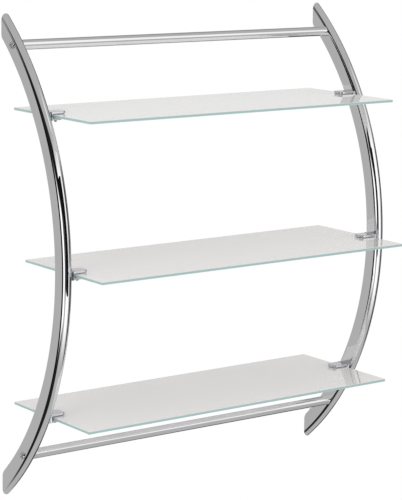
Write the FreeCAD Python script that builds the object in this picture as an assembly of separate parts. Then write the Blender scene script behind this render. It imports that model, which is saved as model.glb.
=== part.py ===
import FreeCAD, Part
import math
import os

# Wall rack for a bathroom: two bowed uprights, two towel bars and three glass shelves held in clips.
# +Z is up, X runs across the rack, the wall is the plane Y = 0 and the room is on its -Y side.
# The origin is on the wall plane, at the centre of the four wall screw holes. Sizes are in millimetres.

Vector = FreeCAD.Vector

# Glass shelves
shelf_length = 550.0
shelf_depth = 200.0
glass_thickness = 4.0
glass_arris = 0.4
shelf_pitch = 218.0
wall_to_glass = 1.0
middle_shelf_forward = 31.0

# Uprights: flat-sided oval tube bent to one arc, cut off at the wall
tube_depth = 30.0
tube_width = 15.0
tube_wall = 2.0
bow_radius = 460.0
bow_stand_off = 168.0
glass_to_upright = 5.0

# Towel bars
bar_diameter = 15.0
bar_wall = 1.5
bar_forward_of_middle = 3.0
top_bar_stand_off = 29.2
bottom_bar_stand_off = 56.5

# Bar screws and the threaded plugs pressed into the bar ends
bar_screw_diameter = 6.0
bar_screw_head_diameter = 11.0
bar_screw_head_height = 2.8
bar_screw_dome_height = 1.96
bar_screw_recess_depth = 1.8
bar_screw_recess_span = 5.5
bar_screw_recess_width = 1.5
plug_length = 24.0
screw_engagement = 16.0

# Glass clips
clip_width = 22.0
clip_corner_radius = 6.5
clip_edge_radius = 0.8
upper_jaw_reach = 27.5
upper_jaw_thickness = 3.0
lower_jaw_reach = 22.0
lower_jaw_thickness = 3.5
lower_jaw_gap = 1.0
web_thickness = 4.0
pad_thickness = 1.0
pad_margin = 1.2

# Clip screws, countersunk in the web of the clip
clip_screw_diameter = 4.0
clip_screw_head_diameter = 7.6
clip_screw_length = 10.0
clip_screw_key = 2.5
clip_screw_key_depth = 1.6

# Pinch screws under the glass, with a plastic tip
pinch_screw_diameter = 4.0
pinch_screw_length = 6.0
pinch_screw_inset = 6.5
pinch_screw_chamfer = 0.3
pinch_screw_key = 2.0
pinch_screw_key_depth = 2.0
pinch_tip_diameter = 3.2
pinch_tip_length = 1.3

# Wall brackets inside the ends of the uprights, and the grub screws that lock the uprights on them
bracket_depth = 12.0
bracket_rib_width_share = 0.62
bracket_rib_reach_share = 0.96
bracket_hole_diameter = 5.0
bracket_head_diameter = 8.6
bracket_hole_from_tip = 22.4
grub_diameter = 4.0
grub_from_wall = 7.0
grub_protrusion = 0.6
grub_key = 2.0
grub_key_depth = 2.2

# Clearances
running_clearance = 0.05
screw_clearance = 0.2
moving_clearance = 0.3
bracket_clearance = 0.3

# A cutting tool runs this far past the surface it starts or ends at
overrun = 1.0
tolerance = 1e-6

# Worked out from the sizes above
arc_centre_y = bow_radius - bow_stand_off
middle_radius = bow_radius - tube_depth / 2
inner_radius = bow_radius - tube_depth
inner_face_x = shelf_length / 2 + glass_to_upright
outer_face_x = inner_face_x + tube_width
upright_x = inner_face_x + tube_width / 2
glass_end_x = shelf_length / 2
jaw_top = glass_thickness / 2 + moving_clearance + pad_thickness
tube_inside_radius = tube_width / 2 - tube_wall
bracket_hole_height = round(math.sqrt(bow_radius**2 - arc_centre_y**2) - bracket_hole_from_tip)
shelf_levels = {"upper": shelf_pitch, "middle": 0.0, "lower": -shelf_pitch}
bar_stand_offs = {"top": top_bar_stand_off, "bottom": bottom_bar_stand_off}
ends = {"top": 1, "bottom": -1}
sides = {"left": -1, "right": 1}

parts_written = []


def save(name, *solids):
    """Writes one node to parts/, as one solid or as a group of separate solids."""
    shape = solids[0] if len(solids) == 1 else Part.makeCompound(list(solids))
    shape.exportStep("parts/" + name + ".step")
    parts_written.append(name)


def cylinder(radius, start, direction, length):
    return Part.makeCylinder(radius, length, Vector(*start), Vector(*direction))


def cone(start_radius, end_radius, start, direction, length):
    return Part.makeCone(start_radius, end_radius, length, Vector(*start), Vector(*direction))


def box(low, high):
    size = [high[i] - low[i] for i in range(3)]
    return Part.makeBox(size[0], size[1], size[2], Vector(*low))


def on_side(side, shape):
    """A shape drawn on the right-hand side, mirrored to the left when side is -1."""
    return shape if side > 0 else shape.mirror(Vector(0, 0, 0), Vector(1, 0, 0))


def bow_y(radius, z):
    """Y of an arc of the bow at height z."""
    return arc_centre_y - math.sqrt(radius**2 - z**2)


def bow_z(radius, y):
    """Height of an arc of the bow at a distance from the wall."""
    return math.sqrt(radius**2 - (arc_centre_y - y) ** 2)


def bar_centre(end):
    """Y and Z of a towel bar, a little forward of the middle of the bent tube, at its distance from the wall."""
    y = -bar_stand_offs[end]
    return y, ends[end] * bow_z(middle_radius + bar_forward_of_middle, y)


def oval_face(inset):
    """Section of the oval tube at the level of the middle shelf, drawn in from the outside by inset."""
    radius = tube_width / 2 - inset
    front = arc_centre_y - bow_radius + tube_width / 2
    back = arc_centre_y - inner_radius - tube_width / 2
    low, high = upright_x - radius, upright_x + radius
    front_arc = Part.Arc(Vector(low, front, 0), Vector(upright_x, front - radius, 0), Vector(high, front, 0))
    back_arc = Part.Arc(Vector(high, back, 0), Vector(upright_x, back + radius, 0), Vector(low, back, 0))
    edges = [
        front_arc.toShape(),
        Part.makeLine(Vector(high, front, 0), Vector(high, back, 0)),
        back_arc.toShape(),
        Part.makeLine(Vector(low, back, 0), Vector(low, front, 0)),
    ]
    return Part.Face(Part.Wire(edges))


def bent_oval(inset, past_wall=0.0):
    """The oval section swept round the bow and cut off at the wall plane."""
    half_angle = math.degrees(math.acos((arc_centre_y - tube_depth) / bow_radius)) + 3
    start = oval_face(inset)
    axis_point, axis = Vector(0, arc_centre_y, 0), Vector(1, 0, 0)
    start.rotate(axis_point, axis, half_angle)
    swept = start.revolve(axis_point, axis, -2 * half_angle)
    reach = bow_radius + tube_depth
    kept = box((0, -reach, -reach), (reach, past_wall, reach))
    return swept.common(kept)


def bar_hole(end, radius, start, length):
    y, z = bar_centre(end)
    return cylinder(radius, (start, y, z), (1, 0, 0), length)


def clip_centre(level):
    """Y of a clip: the middle of the upright at the height of its shelf."""
    return bow_y(middle_radius, level)


def grub_span():
    """Lower end and tip of the upper grub screw: through the concave wall, up to the rib of the bracket."""
    low = bow_z(inner_radius, -grub_from_wall) - grub_protrusion
    high = rib_bottom() - running_clearance
    return low, high


def rib_bottom():
    """Lowest point of the upper bracket."""
    return bow_z(inner_radius + tube_width / 2, 0) - tube_inside_radius * bracket_rib_reach_share


def upright():
    tube = bent_oval(0).cut(bent_oval(tube_wall, past_wall=overrun))
    screw_bore = bar_screw_diameter / 2 + screw_clearance
    for end in ends:
        tube = tube.cut(bar_hole(end, screw_bore, inner_face_x - overrun, tube_width + 2 * overrun))
    for level in shelf_levels.values():
        start = (inner_face_x - overrun, clip_centre(level), level)
        tapped = clip_screw_diameter / 2 + running_clearance
        tube = tube.cut(cylinder(tapped, start, (1, 0, 0), tube_wall + 2 * overrun))
    low, high = grub_span()
    tapped = grub_diameter / 2 + running_clearance
    for up in ends.values():
        start = (upright_x, -grub_from_wall, up * (low - 2 * overrun))
        tube = tube.cut(cylinder(tapped, start, (0, 0, up), high - low + 2 * overrun))
    return tube


def bar(end):
    y, z = bar_centre(end)
    length = 2 * inner_face_x
    outside = cylinder(bar_diameter / 2, (-inner_face_x, y, z), (1, 0, 0), length)
    bore_start = (-inner_face_x - overrun, y, z)
    bore = cylinder(bar_diameter / 2 - bar_wall, bore_start, (1, 0, 0), length + 2 * overrun)
    return outside.cut(bore)


def bar_plug(end):
    y, z = bar_centre(end)
    start = inner_face_x - plug_length
    body = cylinder(bar_diameter / 2 - bar_wall, (start, y, z), (1, 0, 0), plug_length)
    thread = bar_screw_diameter / 2 + running_clearance
    return body.cut(bar_hole(end, thread, start - overrun, plug_length + 2 * overrun))


def cross_recess(depth, span, width, centre, top):
    """Cross-shaped driver recess cut into a head whose top is at x = top, pointing back along -X."""
    y, z = centre
    half, thin = span / 2, width / 2
    upright_slot = box((top - depth, y - thin, z - half), (top + overrun, y + thin, z + half))
    level_slot = box((top - depth, y - half, z - thin), (top + overrun, y + half, z + thin))
    return upright_slot.fuse(level_slot)


def bar_screw(end):
    y, z = bar_centre(end)
    tip = inner_face_x - screw_engagement
    shank = cylinder(bar_screw_diameter / 2, (tip, y, z), (1, 0, 0), outer_face_x - tip)
    head = cylinder(bar_screw_head_diameter / 2, (outer_face_x, y, z), (1, 0, 0), bar_screw_head_height)
    top = outer_face_x + bar_screw_head_height
    rim = [e for e in head.Edges if abs(e.BoundBox.XMin - top) < tolerance and e.BoundBox.XLength < tolerance]
    head = head.makeFillet(bar_screw_dome_height, rim)
    recess = cross_recess(bar_screw_recess_depth, bar_screw_recess_span, bar_screw_recess_width, (y, z), top)
    return shank.fuse(head).removeSplitter().cut(recess)


def glass(name):
    """One shelf: a ground plate with a small arris on every edge."""
    level = shelf_levels[name]
    back = -wall_to_glass - (middle_shelf_forward if name == "middle" else 0)
    half = glass_thickness / 2
    plate = box((-glass_end_x, back - shelf_depth, level - half), (glass_end_x, back, level + half))
    return plate.makeChamfer(glass_arris, plate.Edges)


def jaw_outline(reach, bottom, height, centre, grow=0.0):
    """Plate that starts on the upright's inner face and ends in two round corners over the glass."""
    near = inner_face_x
    far = inner_face_x - reach - grow
    half = clip_width / 2 + grow
    plate = box((far, centre - half, bottom), (near, centre + half, bottom + height))
    corners = [
        e
        for e in plate.Edges
        if e.BoundBox.ZLength > height - tolerance and abs(e.BoundBox.XMin - far) < tolerance
    ]
    return plate.makeFillet(clip_corner_radius + grow, corners)


def clip_body(level):
    centre = clip_centre(level)
    top = level + jaw_top + upper_jaw_thickness
    slot_bottom = level - glass_thickness / 2 - lower_jaw_gap
    bottom = slot_bottom - lower_jaw_thickness
    body = jaw_outline(upper_jaw_reach, bottom, top - bottom, centre)
    level_edges = [e for e in body.Edges if e.BoundBox.ZLength < tolerance]
    rims = [
        e
        for e in level_edges
        if abs(e.BoundBox.ZMin - top) < tolerance and e.BoundBox.XMin < inner_face_x - tolerance
    ]
    body = body.makeFillet(clip_edge_radius, rims)
    wide = clip_width
    slot_low = (inner_face_x - upper_jaw_reach - overrun, centre - wide, slot_bottom)
    slot_high = (inner_face_x - web_thickness, centre + wide, level + jaw_top)
    body = body.cut(box(slot_low, slot_high))
    lower = jaw_outline(lower_jaw_reach, bottom - overrun, slot_bottom - bottom + 2 * overrun, centre)
    keep = box((0, centre - wide, slot_bottom), (inner_face_x, centre + wide, top + overrun))
    body = body.common(keep.fuse(lower))
    thread = pinch_screw_diameter / 2 + running_clearance
    pinch_start = (pinch_axis(level)[0], centre, bottom - overrun)
    body = body.cut(cylinder(thread, pinch_start, (0, 0, 1), lower_jaw_thickness + 2 * overrun))
    head, shank = clip_screw_radii()
    hole_start = (inner_face_x + overrun, centre, level)
    hole = cylinder(shank + screw_clearance, hole_start, (-1, 0, 0), web_thickness + 2 * overrun)
    face_x = inner_face_x - web_thickness
    sink_radius, hole_radius = head + 2 * screw_clearance, shank + screw_clearance
    sink = cone(sink_radius, hole_radius, (face_x, centre, level), (1, 0, 0), sink_radius - hole_radius)
    return body.cut(hole).cut(sink)


def clip_screw_radii():
    return clip_screw_head_diameter / 2, clip_screw_diameter / 2


def clip_screw(level):
    centre = clip_centre(level)
    head, shank = clip_screw_radii()
    face_x = inner_face_x - web_thickness + screw_clearance
    taper = cone(head, shank, (face_x, centre, level), (1, 0, 0), head - shank)
    body = taper.fuse(cylinder(shank, (face_x, centre, level), (1, 0, 0), clip_screw_length))
    return body.cut(hex_socket(clip_screw_key, (face_x, centre, level), (1, 0, 0), clip_screw_key_depth))


def hex_socket(across_flats, start, direction, depth):
    """Six-sided prism for a key, cut from a face at start to depth along direction."""
    radius = across_flats / math.sqrt(3)
    along, across = Vector(*direction), Vector(0, 1, 0)
    other = along.cross(across)
    outside = Vector(*start) - along * overrun
    points = []
    for corner in range(7):
        turn = math.radians(60 * corner)
        points.append(outside + across * radius * math.cos(turn) + other * radius * math.sin(turn))
    return Part.Face(Part.makePolygon(points)).extrude(along * (depth + overrun))


def clip_pad(level):
    """Thin soft pad under the upper jaw."""
    centre = clip_centre(level)
    bottom = level + glass_thickness / 2 + moving_clearance
    pad = jaw_outline(upper_jaw_reach, bottom, pad_thickness, centre, grow=-pad_margin)
    web_face = inner_face_x - web_thickness - moving_clearance
    return pad.common(box((0, centre - clip_width, bottom), (web_face, centre + clip_width, bottom + pad_thickness)))


def pinch_axis(level):
    return inner_face_x - lower_jaw_reach + pinch_screw_inset, clip_centre(level)


def pinch_tip(level):
    x, y = pinch_axis(level)
    top = level - glass_thickness / 2 - moving_clearance
    return cylinder(pinch_tip_diameter / 2, (x, y, top), (0, 0, -1), pinch_tip_length)


def pinch_screw(level):
    x, y = pinch_axis(level)
    top = level - glass_thickness / 2 - moving_clearance - pinch_tip_length - running_clearance
    body = cylinder(pinch_screw_diameter / 2, (x, y, top), (0, 0, -1), pinch_screw_length)
    low = top - pinch_screw_length
    round_ends = [e for e in body.Edges if e.BoundBox.ZLength < tolerance]
    body = body.makeChamfer(pinch_screw_chamfer, round_ends)
    return body.cut(hex_socket(pinch_screw_key, (x, y, low), (0, 0, 1), pinch_screw_key_depth))


def wall_bracket():
    """Block for the upper end of an upright, with a countersunk hole for a wall screw."""
    loose = bent_oval(tube_wall + bracket_clearance)
    middle = bow_z(inner_radius + tube_width / 2, 0) + bracket_clearance
    top = bow_radius + tube_depth
    block = loose.common(box((0, -bracket_depth, middle), (top, 0, top)))
    rib_half = tube_inside_radius * bracket_rib_width_share
    rib_low = (upright_x - rib_half, -bracket_depth, rib_bottom())
    rib = box(rib_low, (upright_x + rib_half, 0, middle + 2 * overrun))
    block = block.fuse(rib).removeSplitter()
    centre = (upright_x, -bracket_depth, bracket_hole_height)
    hole_start = (upright_x, -bracket_depth - overrun, bracket_hole_height)
    hole = cylinder(bracket_hole_diameter / 2, hole_start, (0, 1, 0), bracket_depth + 2 * overrun)
    depth = (bracket_head_diameter - bracket_hole_diameter) / 2
    sink = cone(bracket_head_diameter / 2, bracket_hole_diameter / 2, centre, (0, 1, 0), depth)
    return block.cut(hole).cut(sink)


def grub_screw():
    low, high = grub_span()
    body = cylinder(grub_diameter / 2, (upright_x, -grub_from_wall, low), (0, 0, 1), high - low)
    return body.cut(hex_socket(grub_key, (upright_x, -grub_from_wall, low), (0, 0, 1), grub_key_depth))


def upside_down(shape):
    """The piece of a lower end, from the same piece of an upper end."""
    return shape.mirror(Vector(0, 0, 0), Vector(0, 0, 1))


os.makedirs("parts", exist_ok=True)

right_upright = upright()
top_bracket = wall_bracket()
top_grub = grub_screw()
for side_name, side in sides.items():
    save(side_name + "_upright", on_side(side, right_upright))
    save("top_" + side_name + "_wall_bracket", on_side(side, top_bracket))
    save("top_" + side_name + "_grub_screw", on_side(side, top_grub))
    save("bottom_" + side_name + "_wall_bracket", on_side(side, upside_down(top_bracket)))
    save("bottom_" + side_name + "_grub_screw", on_side(side, upside_down(top_grub)))

for end_name in ends:
    save(end_name + "_bar", bar(end_name))
    for side_name, side in sides.items():
        save(end_name + "_" + side_name + "_bar_plug", on_side(side, bar_plug(end_name)))
        save(end_name + "_" + side_name + "_bar_screw", on_side(side, bar_screw(end_name)))

for shelf_name, shelf_level in shelf_levels.items():
    save(shelf_name + "_shelf", glass(shelf_name))
    for side_name, side in sides.items():
        place = shelf_name + "_" + side_name
        save(place + "_clip", on_side(side, clip_body(shelf_level)))
        save(place + "_clip_screw", on_side(side, clip_screw(shelf_level)))
        save(place + "_pad", on_side(side, clip_pad(shelf_level)))
        save(place + "_pinch_screw", on_side(side, pinch_screw(shelf_level)))
        save(place + "_pinch_tip", on_side(side, pinch_tip(shelf_level)))

print(len(parts_written), "nodes written")
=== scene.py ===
import math
import bpy
from mathutils import Matrix, Vector


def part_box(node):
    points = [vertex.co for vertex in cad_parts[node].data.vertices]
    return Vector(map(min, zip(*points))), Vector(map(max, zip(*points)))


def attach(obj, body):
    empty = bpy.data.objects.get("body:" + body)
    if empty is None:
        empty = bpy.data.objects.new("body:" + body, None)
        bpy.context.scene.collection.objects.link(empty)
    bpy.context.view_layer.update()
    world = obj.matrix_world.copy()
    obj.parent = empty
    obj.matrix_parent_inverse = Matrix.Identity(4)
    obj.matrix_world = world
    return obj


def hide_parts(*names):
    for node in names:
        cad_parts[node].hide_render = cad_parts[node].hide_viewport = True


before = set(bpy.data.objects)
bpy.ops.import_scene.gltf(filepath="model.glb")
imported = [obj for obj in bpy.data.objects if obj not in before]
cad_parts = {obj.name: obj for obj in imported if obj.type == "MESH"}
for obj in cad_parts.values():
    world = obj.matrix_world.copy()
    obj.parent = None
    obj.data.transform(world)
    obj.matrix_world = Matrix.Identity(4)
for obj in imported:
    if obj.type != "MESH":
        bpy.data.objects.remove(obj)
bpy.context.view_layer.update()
sides = {"left": -1, "right": 1}
ends = {"top": 1, "bottom": -1}
shelves = ("upper", "middle", "lower")
tiny, close = 1e-7, 1e-6  # places nearer than this are taken as the same
spare = 0.001  # how far a cutter reaches past what it cuts
flat = 0.9  # how far along Z a top face's normal points
nearlyFlat = 0.5  # degrees


def deselectAll():
    if bpy.context.mode != "OBJECT":
        bpy.ops.object.mode_set(mode="OBJECT")
    bpy.ops.object.select_all(action="DESELECT")


def activate(piece):
    deselectAll()
    piece.select_set(True)
    bpy.context.view_layer.objects.active = piece


def newest(name):
    # the primitive just added, with its place and scale put into its mesh
    piece = bpy.context.object
    piece.name = name
    piece.data.name = name
    bpy.ops.object.transform_apply(location=True, rotation=True, scale=True)
    return piece


def block(name, low, high):
    deselectAll()
    middle = [(a + b) / 2 for a, b in zip(low, high)]
    bpy.ops.mesh.primitive_cube_add(size=1, location=middle, scale=[b - a for a, b in zip(low, high)])
    return newest(name)


def rod(name, radius, start, direction, length, corners=48):
    deselectAll()
    along = Vector(direction).normalized()
    turn = Vector((0, 0, 1)).rotation_difference(along).to_euler()
    middle = Vector(start) + along * length / 2
    bpy.ops.mesh.primitive_cylinder_add(
        vertices=corners, radius=radius, depth=length, location=middle, rotation=turn
    )
    return newest(name)


def taper(name, wide, narrow, start, direction, length, corners=48):
    deselectAll()
    along = Vector(direction).normalized()
    turn = Vector((0, 0, 1)).rotation_difference(along).to_euler()
    middle = Vector(start) + along * length / 2
    bpy.ops.mesh.primitive_cone_add(
        vertices=corners, radius1=wide, radius2=narrow, depth=length, location=middle, rotation=turn
    )
    return newest(name)


def pick(piece, kind, test):
    # selects vertices, edges or faces by their place, and leaves the piece in edit mode
    activate(piece)
    bpy.ops.object.mode_set(mode="EDIT")
    bpy.ops.mesh.select_mode(type=kind)
    bpy.ops.mesh.select_all(action="DESELECT")
    bpy.ops.object.mode_set(mode="OBJECT")
    mesh = piece.data
    if kind == "VERT":
        for vertex in mesh.vertices:
            vertex.select = test(vertex.co)
    elif kind == "EDGE":
        for edge in mesh.edges:
            first, second = (mesh.vertices[i].co for i in edge.vertices)
            edge.select = test(first, second)
    else:
        for face in mesh.polygons:
            face.select = test(face.center, face.normal)
    bpy.ops.object.mode_set(mode="EDIT")


def everything(*places):
    # the test for pick that takes all there is
    return True


def leaveEdit():
    bpy.ops.object.mode_set(mode="OBJECT")


def cleanUp(piece, distance=close):
    pick(piece, "VERT", everything)
    bpy.ops.mesh.remove_doubles(threshold=distance)
    bpy.ops.mesh.normals_make_consistent(inside=False)
    leaveEdit()


def carve(piece, cutter, operation="DIFFERENCE"):
    activate(piece)
    bpy.ops.object.modifier_add(type="BOOLEAN")
    tool = piece.modifiers[-1]
    tool.operation = operation
    tool.object = cutter
    tool.solver = "EXACT"
    bpy.ops.object.modifier_apply(modifier=tool.name)
    bpy.data.objects.remove(cutter)


def soften(piece, width, segments=2, angle=35):
    # small rounded edges wherever two faces meet sharply
    activate(piece)
    bpy.ops.object.modifier_add(type="BEVEL")
    tool = piece.modifiers[-1]
    tool.width = width
    tool.segments = segments
    tool.limit_method = "ANGLE"
    tool.angle_limit = math.radians(angle)
    tool.use_clamp_overlap = True
    bpy.ops.object.modifier_apply(modifier=tool.name)


def smooth(piece, angle=35):
    activate(piece)
    bpy.ops.object.shade_smooth_by_angle(angle=math.radians(angle))
    bpy.ops.object.modifier_add(type="WEIGHTED_NORMAL")
    tool = piece.modifiers[-1]
    tool.keep_sharp = True
    bpy.ops.object.modifier_apply(modifier=tool.name)


def mirroredCopy(right):
    # the left piece: a right one mirrored across the middle of the rack
    name = right.name.replace("Right", "Left")
    activate(right)
    bpy.ops.object.duplicate()
    left = bpy.context.object
    left.name = name
    left.data.name = name
    left.data.transform(Matrix.Scale(-1, 4, Vector((1, 0, 0))))
    pick(left, "FACE", everything)
    bpy.ops.mesh.flip_normals()
    leaveEdit()
    return left


def finished(piece, body, materials, node):
    piece.data.materials.clear()
    for material in materials:
        piece.data.materials.append(material)
    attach(piece, body)
    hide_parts(node)


def turned(name, profile, corners=48):
    # a turned piece along +Z: each profile entry is (height, radius)
    deselectAll()
    height, radius = profile[0]
    bpy.ops.mesh.primitive_circle_add(
        vertices=corners, radius=radius, location=(0, 0, height), fill_type="NGON"
    )
    piece = newest(name)
    pick(piece, "FACE", everything)
    for nextHeight, nextRadius in profile[1:]:
        rise = (0, 0, nextHeight - height)
        bpy.ops.mesh.extrude_region_move(TRANSFORM_OT_translate={"value": rise})
        factor = nextRadius / radius
        bpy.ops.transform.resize(value=(factor, factor, 1), center_override=(0, 0, nextHeight))
        height, radius = nextHeight, nextRadius
    leaveEdit()
    cleanUp(piece, tiny)
    return piece


threadValues = {"crestStart": 0.45, "crestEnd": 0.55}


def thread(bottom, top, radius, pitch, depth):
    # the ridges of a screw thread as profile entries
    points, height = [], bottom
    rise, fall = pitch * threadValues["crestStart"], pitch * threadValues["crestEnd"]
    while height + pitch < top:
        points += [(height, radius - depth), (height + rise, radius), (height + fall, radius)]
        height += pitch
    return points + [(height, radius - depth), (top, radius - depth)]


class Wire:
    # one socket's value, so that shader sums read as plain expressions
    def __init__(self, bench, socket):
        self.bench = bench
        self.socket = socket

    def __add__(self, other):
        return self.bench.sum("ADD", self, other)

    def __radd__(self, other):
        return self.bench.sum("ADD", other, self)

    def __sub__(self, other):
        return self.bench.sum("SUBTRACT", self, other)

    def __rsub__(self, other):
        return self.bench.sum("SUBTRACT", other, self)

    def __mul__(self, other):
        return self.bench.sum("MULTIPLY", self, other)

    def __rmul__(self, other):
        return self.bench.sum("MULTIPLY", other, self)

    def __neg__(self):
        return self.bench.sum("MULTIPLY", self, -1.0)


class Bench:
    # a material's or a world's node tree
    def __init__(self, owner):
        owner.use_nodes = True
        self.tree = owner.node_tree
        self.tree.nodes.clear()

    def node(self, kind, settings=None, sockets=None, out=0):
        made = self.tree.nodes.new(kind)
        for name, value in (settings or {}).items():
            setattr(made, name, value)
        for name, value in (sockets or {}).items():
            self.feed(made.inputs[name], value)
        return Wire(self, made.outputs[out]) if len(made.outputs) else made

    def feed(self, target, value):
        if isinstance(value, Wire):
            self.tree.links.new(value.socket, target)
        else:
            target.default_value = value

    def sum(self, operation, first, second=0.0):
        return self.node("ShaderNodeMath", {"operation": operation}, {0: first, 1: second})

    def fade(self, value, low, high):
        # 0 below low and 1 above high, with a soft step between
        settings = {"interpolation_type": "SMOOTHSTEP"}
        sockets = {0: value, 1: low, 2: high, 3: 0.0, 4: 1.0}
        return self.node("ShaderNodeMapRange", settings, sockets)

    def blend(self, factor, first, second):
        return self.node("ShaderNodeMix", {"data_type": "RGBA"}, {0: factor, 6: first, 7: second}, 2)

    def noise(self, place, scale, detail):
        return self.node("ShaderNodeTexNoise", {}, {"Vector": place, "Scale": scale, "Detail": detail})

    def place(self, stretch=(1, 1, 1)):
        coordinates = self.node("ShaderNodeTexCoord", out="Object")
        return self.node("ShaderNodeMapping", {}, {"Vector": coordinates, "Scale": stretch})

    def bump(self, height, distance):
        return self.node("ShaderNodeBump", {}, {"Height": height, "Distance": distance, "Strength": 1.0})

    def surface(self, sockets):
        shader = self.node("ShaderNodeBsdfPrincipled", {}, sockets)
        self.node("ShaderNodeOutputMaterial", {}, {"Surface": shader})


def rgb(red, green, blue):
    return (red, green, blue, 1.0)


def grey(value):
    return rgb(value, value, value)


chromeValues = {
    "smearScale": 14.0, "smearFrom": 0.35, "smearTo": 0.75, "speckScale": 900.0, "speckHeight": 2e-6,
}


def chromeFinish(name, bright, dull, roughness, smear):
    # mirror plating, with faint wiped patches and fine specks
    material = bpy.data.materials.new(name)
    bench = Bench(material)
    place = bench.place()
    cloud = bench.noise(place, chromeValues["smearScale"], 3.0)
    speck = bench.noise(place, chromeValues["speckScale"], 1.0)
    wiped = bench.fade(cloud, chromeValues["smearFrom"], chromeValues["smearTo"])
    bench.surface({
        "Base Color": bench.blend(wiped * 0.6 + speck * 0.2, bright, dull),
        "Metallic": 1.0,
        "Roughness": roughness + wiped * smear,
        "Normal": bench.bump(speck, chromeValues["speckHeight"]),
    })
    return material


grainHeight = 1e-5  # of metals, plastics and the ground glass


def metalFinish(name, base, shade, roughness, grain, grainScale):
    # plain metals: a base tone broken by patches and a fine grain
    material = bpy.data.materials.new(name)
    bench = Bench(material)
    place = bench.place()
    patch = bench.noise(place, grainScale * 0.1, 2.0)
    fine = bench.noise(place, grainScale, 3.0)
    bench.surface({
        "Base Color": bench.blend(patch * 0.7 + fine * 0.3, base, shade),
        "Metallic": 1.0,
        "Roughness": roughness + (fine - 0.5) * grain,
        "Normal": bench.bump(fine, grainHeight),
    })
    return material


glassValues = {
    "body": rgb(0.70, 0.685, 0.675), "bodyShade": rgb(0.67, 0.66, 0.65), "cloudScale": 6.0,
    "topGrain": 1500.0, "undersideGrain": 2500.0, "undersideHeight": 2e-5, "coatRoughness": 0.015,
    "edge": rgb(0.34, 0.47, 0.46), "edgeLight": rgb(0.62, 0.72, 0.70), "edgeGrain": 900.0,
    "greenTo": 0.0011, "paleFrom": 0.0020,
}


def glassTop():
    # satin body under a clear, mirroring surface
    material = bpy.data.materials.new("glassTop")
    bench = Bench(material)
    cloud = bench.noise(bench.place(), glassValues["cloudScale"], 2.0)
    grain = bench.noise(bench.place(), glassValues["topGrain"], 2.0)
    bench.surface({
        "Base Color": bench.blend(cloud, glassValues["body"], glassValues["bodyShade"]),
        "Roughness": 0.55 + grain * 0.1,
        "Specular IOR Level": 0.2,
        "Coat Weight": 1.0,
        "Coat Roughness": glassValues["coatRoughness"],
        "Coat IOR": 1.5,
    })
    return material


def glassUnderside():
    # the same glass with its satin face bare
    material = bpy.data.materials.new("glassUnderside")
    bench = Bench(material)
    cloud = bench.noise(bench.place(), glassValues["cloudScale"], 2.0)
    grain = bench.noise(bench.place(), glassValues["undersideGrain"], 2.0)
    bench.surface({
        "Base Color": bench.blend(cloud, glassValues["body"], glassValues["bodyShade"]),
        "Roughness": 0.5 + grain * 0.2,
        "Normal": bench.bump(grain, glassValues["undersideHeight"]),
    })
    return material


def glassEdge(level):
    # ground edge: green in the thickness, paler along its arris
    material = bpy.data.materials.new("glassEdge")
    bench = Bench(material)
    place = bench.place()
    split = bench.node("ShaderNodeSeparateXYZ", {}, {0: place}, 2)
    fromMiddle = bench.sum("ABSOLUTE", split - level)
    pale = bench.fade(fromMiddle, glassValues["greenTo"], glassValues["paleFrom"])
    grain = bench.noise(bench.place((1, 1, 6)), glassValues["edgeGrain"], 2.0)
    bench.surface({
        "Base Color": bench.blend(pale, glassValues["edge"], glassValues["edgeLight"]),
        "Roughness": 0.32 + grain * 0.15,
        "Coat Weight": 0.6,
        "Coat Roughness": 0.12,
        "Normal": bench.bump(grain, grainHeight),
    })
    return material


def plasticFinish(name, base, shade, roughness, grainScale):
    # moulded plastic or rubber: a soft patchy tone with a fine grain
    material = bpy.data.materials.new(name)
    bench = Bench(material)
    place = bench.place()
    cloud = bench.noise(place, grainScale * 0.05, 2.0)
    fine = bench.noise(place, grainScale, 2.0)
    bench.surface({
        "Base Color": bench.blend(cloud, base, shade),
        "Roughness": roughness + fine * 0.1,
        "Normal": bench.bump(fine, grainHeight),
    })
    return material


chrome = chromeFinish("polishedChrome", rgb(0.90, 0.90, 0.91), rgb(0.84, 0.84, 0.86), 0.012, 0.014)
clipChrome = chromeFinish("clipChrome", rgb(0.80, 0.79, 0.83), rgb(0.74, 0.73, 0.78), 0.04, 0.03)
# a darker copy of the clip chrome for the clip's upward faces: painted shade standing in for the dark they
# mirror
clipTop = chromeFinish("clipTop", rgb(0.47, 0.46, 0.50), rgb(0.43, 0.42, 0.46), 0.06, 0.04)
stainless = metalFinish("stainlessSteel", rgb(0.80, 0.79, 0.77), rgb(0.66, 0.65, 0.63), 0.17, 0.10, 1500.0)
zincPlate = metalFinish("zincPlate", rgb(0.62, 0.63, 0.65), rgb(0.50, 0.51, 0.54), 0.38, 0.15, 1200.0)
blackOxide = metalFinish("blackOxide", rgb(0.06, 0.06, 0.065), rgb(0.03, 0.03, 0.035), 0.40, 0.15, 2200.0)
brass = metalFinish("turnedBrass", rgb(0.78, 0.60, 0.30), rgb(0.68, 0.50, 0.24), 0.25, 0.12, 1800.0)
softPad = plasticFinish("clipPad", rgb(0.55, 0.56, 0.57), rgb(0.48, 0.49, 0.50), 0.45, 3000.0)
nylon = plasticFinish("nylonTip", rgb(0.84, 0.84, 0.80), rgb(0.78, 0.78, 0.73), 0.40, 2500.0)
print("materials made")


uprightValues = {
    "depth": 0.030, "wall": 0.002, "cornerSteps": 12, "degreesPerStep": 1.0, "pastWall": 4.0,
    "barHole": 0.0032, "barHoleDepth": 0.018, "screwHole": 0.00205, "clipHoleDepth": 0.003,
    "grubHoleLength": 0.018,
}


def bowOf(node):
    # centre and outer radius of the bow, from the box of an upright
    low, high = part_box(node)
    reach, halfHeight = -low.y, high.z
    radius = (reach * reach + halfHeight * halfHeight) / (2 * reach)
    return radius - reach, radius


arcCentre, outerRadius = bowOf("right_upright")
middleRadius = outerRadius - uprightValues["depth"] / 2


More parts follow.
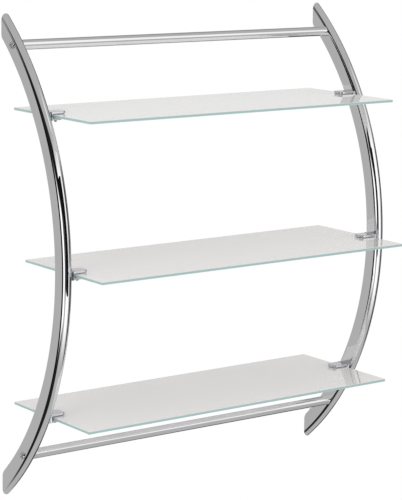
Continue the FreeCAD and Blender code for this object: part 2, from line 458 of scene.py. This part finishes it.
def makeUpright():
    # an oval ring swept round the bow and cut flat at the wall, where the faces that close it overlap
    values = uprightValues
    low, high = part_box("right_upright")
    width = high.x - low.x
    halfAngle = math.acos(arcCentre / outerRadius) + math.radians(values["pastWall"])
    forward = arcCentre - middleRadius * math.cos(halfAngle)
    centre = (low.x + width / 2, forward, -middleRadius * math.sin(halfAngle))
    deselectAll()
    bpy.ops.mesh.primitive_plane_add(size=1, location=centre, rotation=(halfAngle, 0, 0))
    bpy.context.object.scale = (width, values["depth"], 1)
    tube = newest("chromeUprightRight")
    pick(tube, "VERT", everything)
    bpy.ops.mesh.bevel(
        offset=width / 2, segments=values["cornerSteps"], profile=0.5, affect="VERTICES", clamp_overlap=False
    )
    bpy.ops.mesh.select_all(action="SELECT")
    bpy.ops.mesh.remove_doubles(threshold=close)
    pick(tube, "FACE", everything)
    bpy.ops.mesh.inset(thickness=values["wall"], use_even_offset=True)
    bpy.ops.mesh.delete(type="FACE")
    pick(tube, "FACE", everything)
    steps = round(2 * math.degrees(halfAngle) / values["degreesPerStep"])
    bpy.ops.mesh.spin(steps=steps, angle=2 * halfAngle, center=(0, arcCentre, 0), axis=(1, 0, 0))
    bpy.ops.mesh.select_all(action="SELECT")
    bpy.ops.mesh.bisect(plane_co=(0, 0, 0), plane_no=(0, 1, 0), clear_outer=True)
    for up in ends.values():
        pick(tube, "EDGE", lambda a, b: abs(a.y) < tiny and abs(b.y) < tiny and a.z * up > 0)
        bpy.ops.mesh.bridge_edge_loops()
    leaveEdit()
    cleanUp(tube)
    return tube


def drillUpright(tube):
    # holes for the bar screws, the grub screws and the clip screws
    values = uprightValues
    low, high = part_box("right_upright")
    outside = low.x - spare
    narrow, wide = values["screwHole"], values["barHole"]
    for end in ends:
        barLow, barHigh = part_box(end + "_bar")
        middle = (barLow + barHigh) / 2
        depth = values["barHoleDepth"] + spare
        carve(tube, rod("hole", wide, (outside, middle.y, middle.z), (1, 0, 0), depth))
        grubLow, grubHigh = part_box(end + "_right_grub_screw")
        middle = (grubLow + grubHigh) / 2
        length = values["grubHoleLength"]
        carve(tube, rod("hole", narrow, middle - Vector((0, 0, length / 2)), (0, 0, 1), length))
    for shelf in shelves:
        screwLow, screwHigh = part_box(shelf + "_right_clip_screw")
        middle = (screwLow + screwHigh) / 2
        depth = values["clipHoleDepth"] + spare
        carve(tube, rod("hole", narrow, (outside, middle.y, middle.z), (1, 0, 0), depth))


rightUpright = makeUpright()
drillUpright(rightUpright)
leftUpright = mirroredCopy(rightUpright)
for piece, side in ((leftUpright, "left"), (rightUpright, "right")):
    smooth(piece)
    finished(piece, "frame", [chrome], side + "_upright")
print("uprights made")


barValues = {"wall": 0.0015, "corners": 72, "rim": 0.0002}
plugValues = {"chamfer": 0.0004, "bore": 0.0031, "pitch": 0.001, "threadDepth": 0.0002}
barScrewValues = {
    "headRadius": 0.0055, "headHeight": 0.0028, "headEdge": 0.0002, "rimHeight": 0.0008, "crown": 0.00012,
    "domeSteps": 8, "shankRadius": 0.003, "fillet": 0.0003, "plainLength": 0.015, "runOut": 0.0002,
    "pitch": 0.001, "threadDepth": 0.00055, "tipLength": 0.0008, "tipShare": 0.7,
    "recessSpan": 0.0055, "recessWidth": 0.0015, "recessDepth": 0.0018, "recessTaper": 0.5,
}


def makeBar(end):
    # a ring drawn out along the rack, with its rims broken
    low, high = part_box(end + "_bar")
    middle = (low + high) / 2
    radius = (high.z - low.z) / 2
    deselectAll()
    start = (low.x, middle.y, middle.z)
    facing = (0, math.pi / 2, 0)
    bpy.ops.mesh.primitive_circle_add(
        vertices=barValues["corners"], radius=radius, location=start, rotation=facing, fill_type="NGON"
    )
    bar = newest("chromeBar" + end.capitalize())
    pick(bar, "FACE", everything)
    bpy.ops.mesh.inset(thickness=barValues["wall"], use_even_offset=True)
    bpy.ops.mesh.delete(type="FACE")
    pick(bar, "FACE", everything)
    bpy.ops.mesh.extrude_region_move(TRANSFORM_OT_translate={"value": (high.x - low.x, 0, 0)})
    leaveEdit()
    cleanUp(bar)
    soften(bar, barValues["rim"], 1, 60)
    smooth(bar)
    return bar


def makePlug(end):
    # threaded plug pressed into the bar's end
    values = plugValues
    low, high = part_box(end + "_right_bar_plug")
    middle = (low + high) / 2
    length, radius = high.x - low.x, (high.z - low.z) / 2
    chamfer, bore = values["chamfer"], values["bore"]
    profile = [(0, radius - chamfer), (chamfer, radius)]
    profile += [(length - chamfer, radius), (length, radius - chamfer)]
    plug = turned("brassPlug" + end.capitalize() + "Right", profile)
    ridges = thread(0.0, length, bore, values["pitch"], values["threadDepth"])[1:]
    carve(plug, turned("bore", [(-spare, bore)] + ridges + [(length + spare, bore)], 32))
    place = Matrix.Translation((low.x, middle.y, middle.z))
    plug.data.transform(place @ Matrix.Rotation(math.pi / 2, 4, "Y"))
    return plug


def crossCutter(values):
    # the cross recess, narrower towards its bottom
    span, width, depth = values["recessSpan"], values["recessWidth"], values["recessDepth"]
    top = values["headHeight"]
    bottom = top - depth
    first = block("crossOne", (-span / 2, -width / 2, bottom), (span / 2, width / 2, top + spare))
    second = block("crossTwo", (-width / 2, -span / 2, bottom), (width / 2, span / 2, top + spare))
    carve(first, second, "UNION")
    pick(first, "VERT", lambda place: place.z < top - depth / 2)
    narrow = values["recessTaper"]
    bpy.ops.transform.resize(value=(narrow, narrow, 1), center_override=(0, 0, bottom))
    leaveEdit()
    return first


def makeBarScrew(end):
    # pan head with a cross recess, plain shank and threaded end
    values = barScrewValues
    low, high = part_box(end + "_right_bar_screw")
    middle = (low + high) / 2
    radius, height, edge = values["headRadius"], values["headHeight"], values["headEdge"]
    shank, fillet, depth = values["shankRadius"], values["fillet"], values["threadDepth"]
    rim = values["rimHeight"]
    length = (high.x - low.x) - height
    dome = height - rim - values["crown"]
    start, plain = -length + values["tipLength"], -values["plainLength"]
    profile = [(-length, shank * values["tipShare"]), (start, shank - depth)]
    profile += thread(start, plain, shank, values["pitch"], depth)[1:]
    profile += [(plain + values["runOut"], shank), (-fillet, shank), (0, shank + fillet)]
    profile += [(0, radius - edge), (edge, radius), (rim, radius)]
    for step in range(1, values["domeSteps"] + 1):
        turn = math.radians(90 * step / values["domeSteps"])
        profile.append((rim + dome * math.sin(turn), radius - dome * (1 - math.cos(turn))))
    # the head's crown, nearly flat
    profile += [(height - values["crown"] * 0.3, radius * 0.4), (height, radius * 0.12)]
    screw = turned("barScrew" + end.capitalize() + "Right", profile, 64)
    carve(screw, crossCutter(values))
    place = Matrix.Translation((high.x - height, middle.y, middle.z))
    screw.data.transform(place @ Matrix.Rotation(math.pi / 2, 4, "Y"))
    return screw


for end in ends:
    finished(makeBar(end), "frame", [chrome], end + "_bar")
    for maker, slot, metal, node in (
        (makePlug, "brass", brass, "bar_plug"),
        (makeBarScrew, "stainless", stainless, "bar_screw"),
    ):
        right = maker(end)
        left = mirroredCopy(right)
        for piece, side in ((left, "left"), (right, "right")):
            smooth(piece)
            finished(piece, "frame", [metal], end + "_" + side + "_" + node)
print("bars, plugs and bar screws made")


shelfValues = {"arris": 0.0004}


def makeShelf(name):
    # a plate with a small arris all round, faced in three finishes
    low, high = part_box(name + "_shelf")
    shelf = block("glassShelf" + name.capitalize(), low, high)
    pick(shelf, "EDGE", everything)
    bpy.ops.mesh.bevel(offset=shelfValues["arris"], segments=1, affect="EDGES")
    leaveEdit()
    finishes = [glassTop(), glassUnderside(), glassEdge((low.z + high.z) / 2)]
    finished(shelf, name + "_shelf", finishes, name + "_shelf")
    for face in shelf.data.polygons:
        face.material_index = 0 if face.normal.z > flat else 1 if face.normal.z < -flat else 2


for name in shelves:
    makeShelf(name)
print("shelves made")


clipValues = {
    "corner": 0.0065, "cornerSteps": 10, "rim": 0.0008, "edge": 0.00025, "web": 0.004, "upperJaw": 0.003,
    "lowerJaw": 0.0035, "lowerReach": 0.022, "neck": 0.003, "lowerRim": 0.0022, "pinchHole": 0.00205,
    "screwHole": 0.0022, "sinkRadius": 0.0044, "sinkStart": 0.0002,
}
padValues = {"corner": 0.0053, "edge": 0.0002}
pinchValues = {
    "radius": 0.002, "chamfer": 0.0003, "plain": 0.0004, "pitch": 0.0007, "threadDepth": 0.0003,
    "tip": 0.0005, "key": 0.001, "keyDepth": 0.002,
}
tipValues = {"bottomEdge": 0.0002, "topEdge": 0.0003}
clipScrewValues = {
    "head": 0.0038, "headEdge": 0.0001, "shank": 0.002, "plain": 0.001, "pitch": 0.0007,
    "threadDepth": 0.0003, "runOut": 0.0005, "tipShare": 0.7, "key": 0.00125, "keyDepth": 0.0016,
}


def roundedPlate(name, near, far, halfWidth, centre, bottom, top, corner):
    # plate with its two far corners rounded
    deselectAll()
    bpy.ops.mesh.primitive_plane_add(size=1, location=((near + far) / 2, centre, bottom))
    bpy.context.object.scale = (near - far, 2 * halfWidth, 1)
    plate = newest(name)
    pick(plate, "VERT", lambda place: abs(place.x - far) < tiny)
    steps = clipValues["cornerSteps"]
    bpy.ops.mesh.bevel(offset=corner, segments=steps, profile=0.5, affect="VERTICES", clamp_overlap=False)
    pick(plate, "FACE", everything)
    bpy.ops.mesh.extrude_region_move(TRANSFORM_OT_translate={"value": (0, 0, top - bottom)})
    leaveEdit()
    cleanUp(plate)
    return plate


def makeClip(shelf):
    # upper jaw, lower jaw and the web between them
    values = clipValues
    low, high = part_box(shelf + "_right_clip")
    centre, halfWidth = (low.y + high.y) / 2, (high.y - low.y) / 2
    near, far = high.x - values["neck"], high.x - values["lowerReach"]
    name = "clip" + shelf.capitalize() + "Right"
    jawLow, jawHigh = high.z - values["upperJaw"], low.z + values["lowerJaw"]
    clip = roundedPlate(name, near, low.x, halfWidth, centre, jawLow, high.z, values["corner"])
    lower = roundedPlate("lowerJaw", near, far, halfWidth, centre, low.z, jawHigh, values["corner"])
    pick(lower, "EDGE", lambda a, b: max(a.z, b.z) < low.z + tiny and min(a.x, b.x) < near - tiny)
    bpy.ops.mesh.bevel(offset=values["lowerRim"], segments=5, affect="EDGES")
    leaveEdit()
    carve(clip, lower, "UNION")
    # the web turns into a rounded neck where it meets the upright
    web = block("web", (high.x - values["web"], low.y, low.z), (high.x, high.y, high.z))
    pick(web, "EDGE", lambda a, b: min(a.x, b.x) > high.x - tiny and abs(a.z - b.z) > close)
    bpy.ops.mesh.bevel(offset=values["neck"], segments=8, affect="EDGES")
    leaveEdit()
    carve(clip, web, "UNION")
    pick(clip, "FACE", everything)
    bpy.ops.mesh.dissolve_limited(angle_limit=math.radians(nearlyFlat))
    pick(clip, "EDGE", lambda a, b: min(a.z, b.z) > high.z - close and min(a.x, b.x) < high.x - close)
    bpy.ops.mesh.bevel(offset=values["rim"], segments=4, affect="EDGES")
    leaveEdit()
    soften(clip, values["edge"], 2, 50)
    pinchLow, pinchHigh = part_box(shelf + "_right_pinch_screw")
    middle = (pinchLow + pinchHigh) / 2
    start = (middle.x, middle.y, low.z - spare)
    carve(clip, rod("hole", values["pinchHole"], start, (0, 0, 1), values["lowerJaw"] + 2 * spare))
    screwLow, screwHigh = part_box(shelf + "_right_clip_screw")
    middle = (screwLow + screwHigh) / 2
    face, hole, sink = high.x - values["web"], values["screwHole"], values["sinkRadius"]
    start = (face - spare, middle.y, middle.z)
    carve(clip, rod("hole", hole, start, (1, 0, 0), values["web"] + 2 * spare))
    start = (face - values["sinkStart"], middle.y, middle.z)
    carve(clip, taper("sink", sink, hole, start, (1, 0, 0), sink - hole))
    return clip


def makePad(shelf):
    # thin pad between the upper jaw and the glass
    low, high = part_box(shelf + "_right_pad")
    centre, halfWidth = (low.y + high.y) / 2, (high.y - low.y) / 2
    name = "pad" + shelf.capitalize() + "Right"
    pad = roundedPlate(name, high.x, low.x, halfWidth, centre, low.z, high.z, padValues["corner"])
    soften(pad, padValues["edge"], 2, 50)
    return pad


def keyCutter(values):
    # six-sided key socket, cut from the end at z = 0
    radius = values["key"] * 2 / math.sqrt(3)
    return rod("key", radius, (0, 0, -spare), (0, 0, 1), values["keyDepth"] + spare, 6)


def makePinchScrew(shelf):
    # headless screw with its key socket at the bottom
    values = pinchValues
    low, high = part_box(shelf + "_right_pinch_screw")
    length, radius, chamfer = high.z - low.z, values["radius"], values["chamfer"]
    profile = [(0, radius - chamfer), (chamfer, radius)]
    profile += thread(values["plain"], length - chamfer, radius, values["pitch"], values["threadDepth"])
    profile += [(length, radius - values["tip"])]
    screw = turned("pinchScrew" + shelf.capitalize() + "Right", profile, 40)
    carve(screw, keyCutter(values))
    screw.data.transform(Matrix.Translation(((low.x + high.x) / 2, (low.y + high.y) / 2, low.z)))
    return screw


def makePinchTip(shelf):
    # plastic button between the pinch screw and the glass
    low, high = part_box(shelf + "_right_pinch_tip")
    length, radius = high.z - low.z, (high.x - low.x) / 2
    bottom, top = tipValues["bottomEdge"], tipValues["topEdge"]
    profile = [(0, radius - bottom), (bottom, radius), (length - top, radius), (length, radius - top)]
    tip = turned("pinchTip" + shelf.capitalize() + "Right", profile, 40)
    tip.data.transform(Matrix.Translation(((low.x + high.x) / 2, (low.y + high.y) / 2, low.z)))
    return tip


def makeClipScrew(shelf):
    # countersunk screw from the clip into the upright
    values = clipScrewValues
    low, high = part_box(shelf + "_right_clip_screw")
    head, shank, edge = values["head"], values["shank"], values["headEdge"]
    length = high.x - low.x
    profile = [(0, head - edge), (edge, head), (head - shank, shank)]
    start, end = head - shank + values["plain"], length - values["runOut"]
    profile += thread(start, end, shank, values["pitch"], values["threadDepth"])
    profile += [(length, shank * values["tipShare"])]
    screw = turned("clipScrew" + shelf.capitalize() + "Right", profile, 40)
    carve(screw, keyCutter(values))
    place = Matrix.Translation((low.x, (low.y + high.y) / 2, (low.z + high.z) / 2))
    screw.data.transform(place @ Matrix.Rotation(math.pi / 2, 4, "Y"))
    return screw


# maker, slot, finish, node, and the body that a piece rides where that isn't the frame
clipParts = (
    (makeClip, "chrome", clipChrome, "clip", None),
    (makePad, "soft_pad", softPad, "pad", None),
    (makeClipScrew, "stainless", stainless, "clip_screw", None),
    (makePinchScrew, "stainless", stainless, "pinch_screw", "pinch"),
    (makePinchTip, "nylon", nylon, "pinch_tip", "pinch"),
)
for maker, slot, finish, node, moving in clipParts:
    for shelf in shelves:
        right = maker(shelf)
        left = mirroredCopy(right)
        for piece, side in ((left, "left"), (right, "right")):
            smooth(piece)
            place = shelf + "_" + side + "_"
            # the clip's upward faces take the darker chrome: painted shade on the clip tops
            finishes = [finish, clipTop] if node == "clip" else [finish]
            finished(piece, place + moving if moving else "frame", finishes, place + node)
            if node == "clip":
                for face in piece.data.polygons:
                    face.material_index = 1 if face.normal.z > flat else 0
print("clips made")


hiddenEdges = {"wall_bracket": 0.0003, "grub_screw": 0.0001}


def fromCad(node, name, edge):
    # a piece hidden in the upright: a copy of its node with small rounded edges
    deselectAll()
    piece = bpy.data.objects.new(name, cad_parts[node].data.copy())
    bpy.context.scene.collection.objects.link(piece)
    cleanUp(piece)
    pick(piece, "FACE", everything)
    bpy.ops.mesh.dissolve_limited(angle_limit=math.radians(nearlyFlat))
    leaveEdit()
    soften(piece, edge, 2, 40)
    smooth(piece)
    return piece


for end in ends:
    for side in sides:
        for kind, title, slot, finish in (
            ("wall_bracket", "wallBracket", "zinc_plate", zincPlate),
            ("grub_screw", "grubScrew", "dark_steel", blackOxide),
        ):
            node = end + "_" + side + "_" + kind
            piece = fromCad(node, title + end.capitalize() + side.capitalize(), hiddenEdges[kind])
            finished(piece, "frame", [finish], node)
print("brackets and grub screws made")


floorValues = {"level": -0.90, "forward": 0.1, "radius": 1.45, "solid": 0.7, "tone": rgb(0.86, 0.86, 0.86)}


def makeFloor():
    # a pale disc that fades out into the white background
    centre = Vector((0, -floorValues["forward"], floorValues["level"]))
    deselectAll()
    bpy.ops.mesh.primitive_circle_add(
        vertices=96, radius=floorValues["radius"], fill_type="NGON", location=centre
    )
    floor = newest("studioFloor")
    material = bpy.data.materials.new("floorPaper")
    bench = Bench(material)
    place = bench.node("ShaderNodeTexCoord", out="Object")
    centred = bench.node("ShaderNodeVectorMath", {"operation": "ADD"}, {0: place, 1: -centre})
    distance = bench.node("ShaderNodeVectorMath", {"operation": "LENGTH"}, {0: centred}, "Value")
    bench.surface({
        "Base Color": floorValues["tone"],
        "Roughness": 0.9,
        "Alpha": 1.0 - bench.fade(distance, floorValues["solid"], floorValues["radius"]),
    })
    floor.data.materials.append(material)
    floor.visible_glossy = False


# what the polished parts mirror: cards far round the rack, each with its span round from the front towards
# the left and its span up from level, in degrees, its brightness and its softness
studioCards = {
    "leftFlag": ((97, 134), (-33, 12), 0.003, (1.5, 3)),
    "leftBox": ((60, 96), (-23, 6), 1.25, (1.5, 3)),
    "lowLeftFlag": ((62, 128), (-52, -25), 0.015, (4, 3)),
    "highLeftFlag": ((20, 118), (7, 33), 0.015, (4, 3)),
    "frontLeftFlag": ((43, 61), (-17, 26), 0.004, (2, 3)),
    "frontBox": ((-28, 34), (-36, 30), 1.15, (3, 9)),
    "rightBox": ((-46, -23), (2, 50), 1.0, (4, 5)),
    "rightFlag": ((-85, -52), (-40, 16), 0.01, (2, 5)),
    "behindRight": ((-128, -96), (-56, 24), 0.02, (2, 5)),
    "highBehindRight": ((-162, -112), (28, 50), 0.26, (8, 5)),
    "behindBox": ((-162, -131), (1, 21), 0.84, (2, 3)),
}
# what they mirror where there is no card, and the even light on everything else
studioValues = {"room": 0.47, "dome": 1.01}

# black cards standing close to the rack, there only in its reflections
studioFlags = {
    "flagFront": {"ends": ((-0.99, -1.0), (-0.01, -0.99)), "low": -0.30, "high": 0.52},
}


def makeFlags():
    material = bpy.data.materials.new("flagCloth")
    bench = Bench(material)
    weave = bench.noise(bench.place(), 400.0, 2.0)
    black = bench.blend(weave, grey(0.004), grey(0.008))
    bench.surface({"Base Color": black, "Roughness": 1.0, "Specular IOR Level": 0.0})
    for name, values in studioFlags.items():
        first, second = (Vector(end) for end in values["ends"])
        middle, along = (first + second) / 2, second - first
        height = values["high"] - values["low"]
        deselectAll()
        bpy.ops.mesh.primitive_plane_add(
            size=1, location=(middle.x, middle.y, values["low"] + height / 2),
            rotation=(math.pi / 2, 0, math.atan2(along.y, along.x)),
        )
        bpy.context.object.scale = (along.length, height, 1)
        flag = newest(name)
        flag.data.materials.append(material)
        for kind in ("camera", "diffuse", "shadow", "transmission"):
            setattr(flag, "visible_" + kind, False)


def makeWorld():
    # plain white behind the rack, the cards in its reflections, and an even light on it
    world = bpy.data.worlds.new("studio")
    bpy.context.scene.world = world
    bench = Bench(world)
    direction = bench.node("ShaderNodeTexCoord", out="Generated")
    x, y, z = (bench.node("ShaderNodeSeparateXYZ", {}, {0: direction}, axis) for axis in range(3))
    around = bench.sum("ARCTAN2", -x, -y) * math.degrees(1)
    upward = bench.sum("ARCSINE", z) * math.degrees(1)
    mirrored = grey(studioValues["room"])
    for (first, last), (low, high), brightness, (softRound, softUp) in studioCards.values():
        inside = bench.fade(around, first - softRound, first + softRound)
        inside = inside * (1.0 - bench.fade(around, last - softRound, last + softRound))
        inside = inside * bench.fade(upward, low - softUp, low + softUp)
        inside = inside * (1.0 - bench.fade(upward, high - softUp, high + softUp))
        mirrored = bench.blend(inside, mirrored, grey(brightness))
    rays = bench.node("ShaderNodeLightPath")
    glossy = Wire(bench, rays.socket.node.outputs["Is Glossy Ray"])
    camera = Wire(bench, rays.socket.node.outputs["Is Camera Ray"])
    lit = bench.blend(glossy, grey(studioValues["dome"]), mirrored)
    seen = bench.blend(camera, lit, grey(1.0))
    background = bench.node("ShaderNodeBackground", {}, {"Color": seen})
    bench.node("ShaderNodeOutputWorld", {}, {"Surface": background})


lightValues = {
    "overhead": {"place": (-0.6, -1.2, 2.2), "size": 1.6, "power": 8.0},
    "side": {"place": (-2.2, -1.0, 0.9), "size": 1.2, "power": 10.0},
}


def makeLights():
    # two soft discs, not mirrored in the chrome
    for name, values in lightValues.items():
        light = bpy.data.lights.new(name, "AREA")
        light.shape = "DISK"
        light.size = values["size"]
        light.energy = values["power"]
        lamp = bpy.data.objects.new(name, light)
        bpy.context.scene.collection.objects.link(lamp)
        lamp.location = values["place"]
        lamp.rotation_euler = (Vector((0, -0.1, 0)) - lamp.location).to_track_quat("-Z", "Y").to_euler()
        lamp.visible_glossy = False


cameraValues = {
    "lens": 147.0, "place": (-1.7986, -2.5097, 0.5544), "around": 36.57, "down": 9.06, "roll": 0.73,
    "shift": -0.1,
}


def makeCamera():
    # stands front left of the rack, looking a little down at it
    values = cameraValues
    camera = bpy.data.cameras.new("studioCamera")
    camera.lens = values["lens"]
    camera.shift_y = values["shift"]
    camera.clip_start = 0.05
    holder = bpy.data.objects.new("studioCamera", camera)
    bpy.context.scene.collection.objects.link(holder)
    around, down, roll = (math.radians(values[key]) for key in ("around", "down", "roll"))
    ahead = math.cos(down)
    forward = Vector((math.sin(around) * ahead, math.cos(around) * ahead, -math.sin(down)))
    level = Vector((math.cos(around), -math.sin(around), 0))
    upward = level.cross(forward)
    across = level * math.cos(roll) + upward * math.sin(roll)
    upward = across.cross(forward)
    turn = Matrix((across, upward, -forward)).transposed().to_4x4()
    holder.matrix_world = Matrix.Translation(values["place"]) @ turn
    bpy.context.scene.camera = holder


makeFloor()
makeFlags()
makeWorld()
makeLights()
makeCamera()
bpy.context.scene.view_settings.view_transform = "Standard"
print("studio made")
